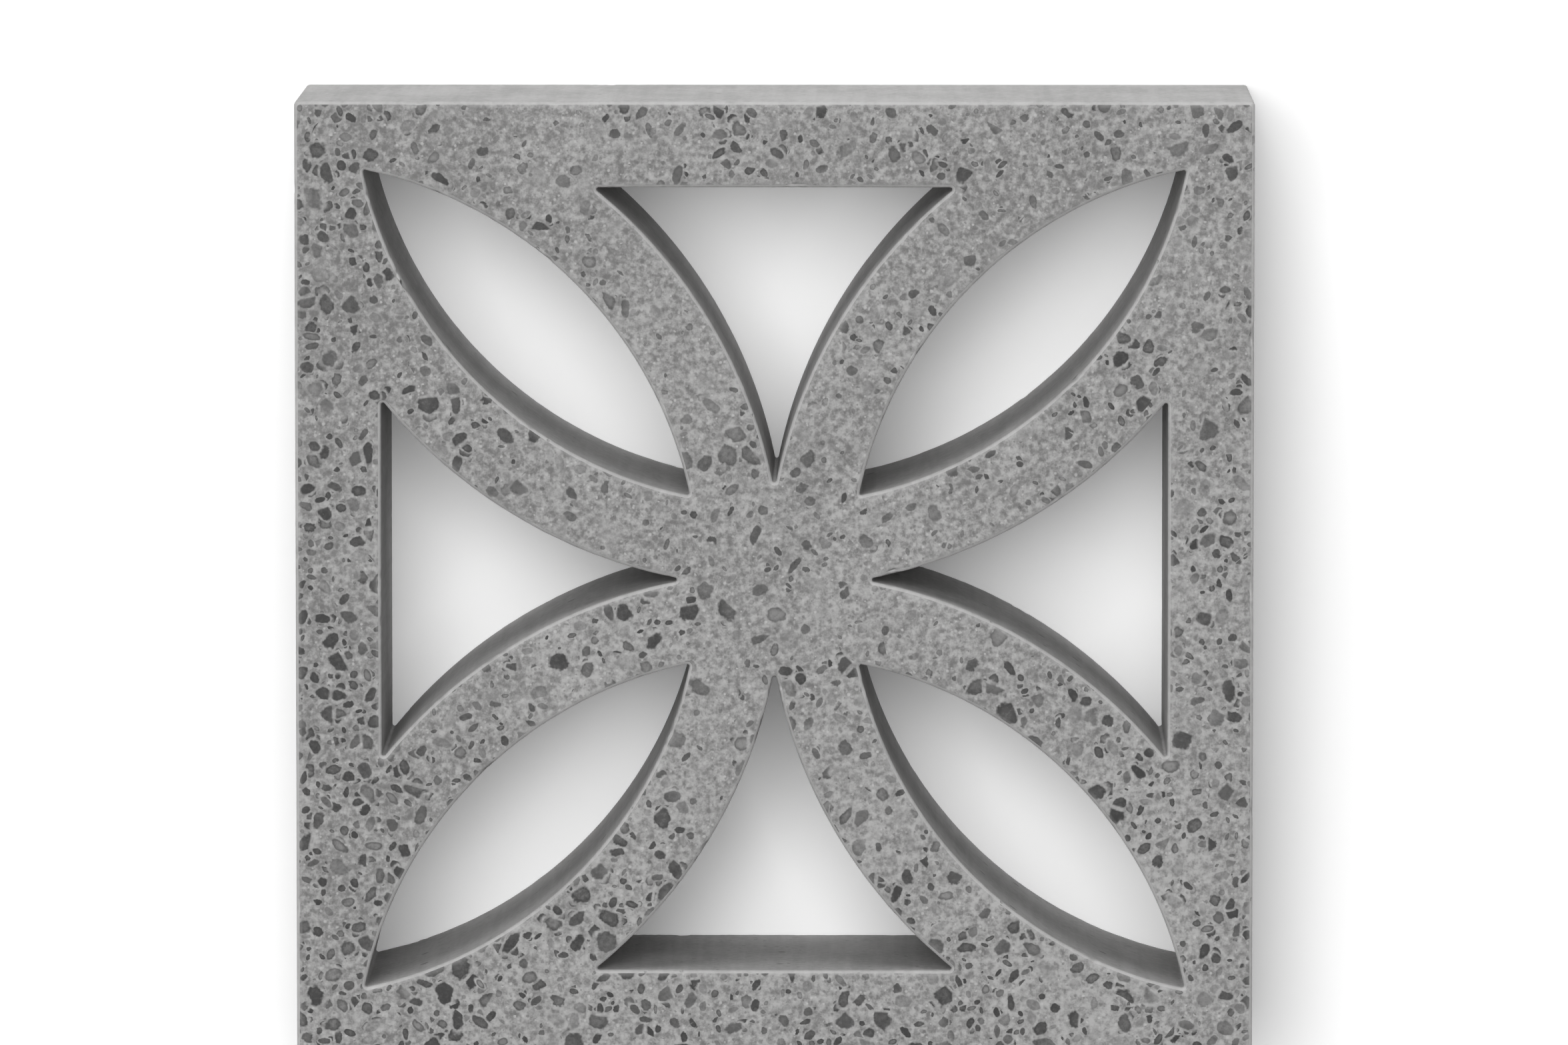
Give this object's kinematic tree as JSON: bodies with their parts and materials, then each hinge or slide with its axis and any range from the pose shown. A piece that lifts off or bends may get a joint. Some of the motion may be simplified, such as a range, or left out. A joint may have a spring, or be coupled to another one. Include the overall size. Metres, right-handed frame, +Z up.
{
  "type": "concrete screen block",
  "caption": "Square pierced concrete block with interlaced ring bands around leaf and three-sided openings, laid in mortar to make an open screen wall.",
  "frame": {"origin": "middle of the back, on the floor that the block lies on", "axes": "+Z up through the block from its back to its honed face, +X to the right of the face and +Y towards the bed that is uppermost in a wall"},
  "size_m": [0.29, 0.29, 0.09],
  "materials": {
    "concrete": "matte"
  },
  "bodies": {
    "root": {"screen_block": "concrete"}
  },
  "joints": []
}
